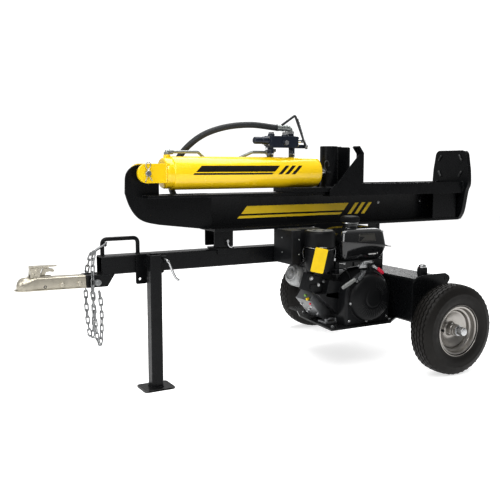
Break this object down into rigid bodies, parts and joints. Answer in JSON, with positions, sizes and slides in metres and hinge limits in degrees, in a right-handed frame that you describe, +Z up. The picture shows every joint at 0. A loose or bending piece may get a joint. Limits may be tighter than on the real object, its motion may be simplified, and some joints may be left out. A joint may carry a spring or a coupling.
{
  "type": "log splitter",
  "caption": "Towable hydraulic log splitter: petrol engine, wedge driven along a steel beam against a footplate; the beam tilts up for vertical splitting.",
  "frame": {"origin": "on the ground plane under the middle of the machine's length and width, with the beam lowered and the ram drawn back", "axes": "+X towards the footplate end, -X towards the tow coupler, -Y the engine side, +Z up; the wheels' axle is along Y"},
  "size_m": [2.335, 1.28, 1.1723],
  "materials": {
    "black_paint": "semi-gloss powder coat",
    "yellow_paint": "gloss enamel",
    "zinc_coupler": "dull yellow-zinc plate",
    "bright_zinc": "bright zinc plate",
    "cast_alloy": "as-cast, fine sand texture",
    "dark_steel": "dark oxide",
    "gloss_black": "gloss enamel",
    "black_plastic": "satin moulded",
    "grey_plastic": "satin moulded",
    "tyre_rubber": "matt rubber",
    "hose_rubber": "matt fabric-finish rubber",
    "valve_blue": "dark blue enamel on cast iron",
    "chrome": "polished hard chrome",
    "red_rubber": "red dipped vinyl",
    "engine_black": "satin heat-resistant enamel"
  },
  "bodies": {
    "chassis": {"tongue_tube": "black_paint", "coupler_drop": "black_paint", "coupler_body": "zinc_coupler", "coupler_bolt_front": "bright_zinc", "coupler_bolt_rear": "bright_zinc", "tow_handle": "black_paint", "safety_chain_near": "bright_zinc", "safety_chain_far": "bright_zinc", "jack_bracket": "black_paint", "latch_saddle": "black_paint", "tilt_bracket": "black_paint", "tilt_pin": "bright_zinc", "hydraulic_tank": "black_paint", "tank_end_near": "black_paint", "tank_end_far": "black_paint", "spindle_near": "dark_steel", "spindle_far": "dark_steel", "hub_nut_near": "bright_zinc", "hub_nut_far": "bright_zinc", "engine_plate": "black_paint", "crankcase": "cast_alloy", "rocker_cover": "cast_alloy", "carburettor": "cast_alloy", "blower_housing": "engine_black", "recoil_cover": "engine_black", "fuel_tank": "gloss_black", "air_cleaner": "black_plastic", "muffler_guard": "engine_black", "pump_housing": "cast_alloy", "hydraulic_pump": "cast_alloy"},
    "beam_assembly": {"beam": "black_paint", "footplate": "black_paint", "log_rail_near": "black_paint", "log_rail_far": "black_paint", "cylinder_barrel": "yellow_paint", "base_pin": "bright_zinc", "valve_body": "valve_blue", "pressure_pipe": "bright_zinc", "return_hose": "hose_rubber", "pressure_hose": "hose_rubber"},
    "ram": {"piston_rod": "chrome", "wedge": "black_paint", "rod_pin": "bright_zinc"},
    "valve_lever": {"valve_lever": "dark_steel"},
    "valve_spool": {"valve_spool": "chrome"},
    "wheel_near": {"tyre_near": "tyre_rubber", "rim_near": "bright_zinc"},
    "wheel_far": {"tyre_far": "tyre_rubber", "rim_far": "bright_zinc"},
    "jack": {"jack_leg": "black_paint"},
    "jack_pin": {"jack_pin": "bright_zinc"},
    "latch_pin": {"latch_pin": "bright_zinc"},
    "coupler_latch": {"coupler_latch": "bright_zinc"},
    "ball_clamp": {"ball_clamp": "dark_steel"},
    "throttle": {"throttle_lever": "red_rubber"},
    "recoil_grip": {"recoil_grip": "grey_plastic"},
    "crank": {"crankshaft": "dark_steel", "flywheel": "dark_steel"},
    "fuel_cap": {"fuel_cap": "black_plastic"},
    "breather_cap": {"breather_cap": "black_plastic"}
  },
  "joints": [
    {"name": "beam_tilt", "type": "hinge", "parent": "chassis", "child": "beam_assembly", "pos_m": [0.6245, 0, 0.545], "axis": [0, 1, 0], "range_deg": [0, 90], "deforming": ["return_hose", "pressure_hose"]},
    {"name": "ram_stroke", "type": "slide", "parent": "beam_assembly", "child": "ram", "axis": [1, 0, 0], "range_m": [0, 0.61]},
    {"name": "valve_lever_swing", "type": "hinge", "parent": "beam_assembly", "child": "valve_lever", "pos_m": [0.1925, 0, 1.028], "axis": [0, 1, 0], "range_deg": [-15, 15]},
    {"name": "valve_spool_slide", "type": "slide", "parent": "beam_assembly", "child": "valve_spool", "axis": [1, 0, 0], "range_m": [-0.008, 0.008]},
    {"name": "wheel_near_spin", "type": "hinge", "parent": "chassis", "child": "wheel_near", "pos_m": [0.6295, -0.5575, 0.205], "axis": [0, 1, 0], "continuous": true},
    {"name": "wheel_far_spin", "type": "hinge", "parent": "chassis", "child": "wheel_far", "pos_m": [0.6295, 0.5575, 0.205], "axis": [0, 1, 0], "continuous": true},
    {"name": "jack_fold", "type": "hinge", "parent": "chassis", "child": "jack", "pos_m": [-0.6205, -0.1125, 0.53], "axis": [0, -1, 0], "range_deg": [0, 90]},
    {"name": "jack_pin_pull", "type": "slide", "parent": "jack", "child": "jack_pin", "axis": [0, -1, 0], "range_m": [0, 0.05]},
    {"name": "latch_pin_pull", "type": "slide", "parent": "beam_assembly", "child": "latch_pin", "axis": [0, -1, 0], "range_m": [0, 0.12]},
    {"name": "coupler_latch_lift", "type": "hinge", "parent": "chassis", "child": "coupler_latch", "pos_m": [-1.0775, 0, 0.519], "axis": [0, -1, 0], "range_deg": [0, 70]},
    {"name": "ball_clamp_drop", "type": "slide", "parent": "chassis", "child": "ball_clamp", "axis": [0, 0, -1], "range_m": [0, 0.0065]},
    {"name": "throttle_swing", "type": "hinge", "parent": "chassis", "child": "throttle", "pos_m": [0.3675, -0.324, 0.478], "axis": [0, -1, 0], "range_deg": [0, 35]},
    {"name": "recoil_pull", "type": "slide", "parent": "chassis", "child": "recoil_grip", "axis": [-0.4492, -0.8486, 0.2795], "range_m": [0, 0.6]},
    {"name": "crank_spin", "type": "hinge", "parent": "chassis", "child": "crank", "pos_m": [0.3495, 0, 0.335], "axis": [0, 1, 0], "continuous": true},
    {"name": "fuel_cap_turn", "type": "hinge", "parent": "chassis", "child": "fuel_cap", "pos_m": [0.3225, -0.2, 0.664], "axis": [0, 0, 1], "continuous": true},
    {"name": "breather_cap_turn", "type": "hinge", "parent": "chassis", "child": "breather_cap", "pos_m": [0.6015, -0.391, 0.428], "axis": [0, 0, 1], "continuous": true}
  ],
  "couplings": [
    {"joint": "valve_spool_slide", "follows": "valve_lever_swing", "m_per_rad": 0.024},
    {"joint": "ball_clamp_drop", "follows": "coupler_latch_lift", "m_per_rad": 0.005}
  ]
}
